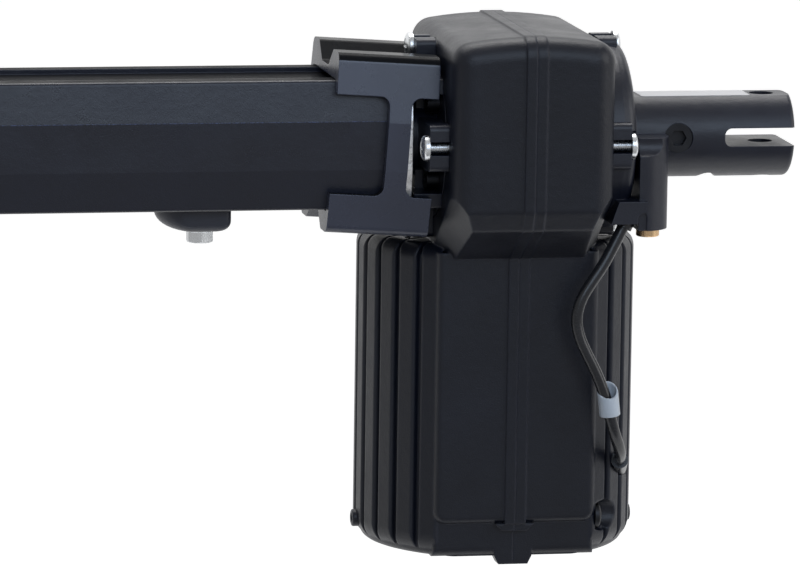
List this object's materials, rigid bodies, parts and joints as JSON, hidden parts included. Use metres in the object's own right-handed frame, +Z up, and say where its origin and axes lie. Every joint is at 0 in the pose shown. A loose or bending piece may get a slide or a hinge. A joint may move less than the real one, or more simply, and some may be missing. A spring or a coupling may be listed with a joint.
{
  "type": "swing gate operator",
  "caption": "Linear swing gate operator: slotted tube with a screw-driven traveller, split finned motor cover, forked rear arm, key release and sliding travel stops.",
  "frame": {"origin": "centre of the rear pivot hole in the fork, on the axis of the arm and lead screw", "axes": "+X along the drive line from the front end cap to the rear fork, +Y to the back, +Z up"},
  "size_m": [0.8517, 0.1361, 0.2207],
  "materials": {
    "black_paint": "satin black",
    "black_cover": "fine grain",
    "zinc_steel": "zinc plated",
    "dark_steel": "oiled",
    "brass": "turned",
    "bronze": "turned",
    "cast_aluminium": "as cast",
    "motor_steel": "drawn",
    "magnet": "sintered",
    "pad_plastic": "moulded",
    "stop_paint": "satin black",
    "cable_rubber": "smooth",
    "white_sleeve": "smooth"
  },
  "bodies": {
    "base": {"tube_profile": "black_paint", "rear_casting": "black_paint", "front_flange": "black_paint", "left_cover": "black_cover", "right_cover": "black_cover", "joint_saddle": "black_cover", "front_end_cap": "black_cover", "end_cap_screws": "zinc_steel", "left_cover_screws": "zinc_steel", "right_cover_screws": "zinc_steel", "lower_cover_screws": "zinc_steel", "flange_screws": "zinc_steel", "motor_screws": "zinc_steel", "arm_set_screw": "dark_steel", "wheel_bearings": "dark_steel", "front_screw_bush": "bronze", "worm_bushes": "bronze", "thrust_plug": "bronze", "gear_case": "cast_aluminium", "motor_end_plate": "cast_aluminium", "motor_can": "motor_steel", "motor_magnets": "magnet", "motor_cable": "cable_rubber", "exit_grommet": "cable_rubber", "entry_grommet": "cable_rubber", "cable_sleeve": "white_sleeve"},
    "screw": {"lead_screw": "dark_steel"},
    "clutch": {"clutch_collar": "dark_steel"},
    "wheel": {"worm_wheel": "bronze", "wheel_hub": "dark_steel"},
    "release": {"release_spindle": "brass"},
    "worm": {"worm_shaft": "dark_steel", "motor_rotor": "dark_steel"},
    "traveller": {"traveller_carriage": "stop_paint", "drive_nut": "bronze", "glide_pads": "pad_plastic", "front_pivot_pin": "zinc_steel"},
    "rear_stop": {"rear_stop_block": "stop_paint", "rear_stop_bolt": "zinc_steel", "rear_stop_nut": "zinc_steel"},
    "front_stop": {"front_stop_block": "stop_paint", "front_stop_bolt": "zinc_steel", "front_stop_nut": "zinc_steel"}
  },
  "joints": [
    {"name": "traveller_slide", "type": "slide", "parent": "base", "child": "traveller", "axis": [1, 0, 0], "range_m": [-0.194, 0.206]},
    {"name": "screw_spin", "type": "hinge", "parent": "base", "child": "screw", "pos_m": [0, 0, 0], "axis": [1, 0, 0], "continuous": true},
    {"name": "wheel_spin", "type": "hinge", "parent": "base", "child": "wheel", "pos_m": [-0.1045, 0, 0], "axis": [1, 0, 0], "continuous": true},
    {"name": "worm_spin", "type": "hinge", "parent": "base", "child": "worm", "pos_m": [-0.1045, 0.028, 0], "axis": [0, 0, 1], "continuous": true},
    {"name": "release_turn", "type": "hinge", "parent": "base", "child": "release", "pos_m": [-0.05, -0.015, -0.03], "axis": [0, 0, -1], "range_deg": [0, 90]},
    {"name": "clutch_slide", "type": "slide", "parent": "screw", "child": "clutch", "axis": [1, 0, 0], "range_m": [-0.002, 0.009]},
    {"name": "rear_stop_slide", "type": "slide", "parent": "base", "child": "rear_stop", "axis": [1, 0, 0], "range_m": [0, 0.035]},
    {"name": "front_stop_slide", "type": "slide", "parent": "base", "child": "front_stop", "axis": [1, 0, 0], "range_m": [-0.08, 0]}
  ],
  "couplings": [
    {"joint": "screw_spin", "follows": "traveller_slide", "rad_per_m": -628.32},
    {"joint": "wheel_spin", "follows": "traveller_slide", "rad_per_m": -628.32},
    {"joint": "worm_spin", "follows": "traveller_slide", "rad_per_m": 20106},
    {"joint": "clutch_slide", "follows": "release_turn", "m_per_rad": 0.0036013}
  ]
}
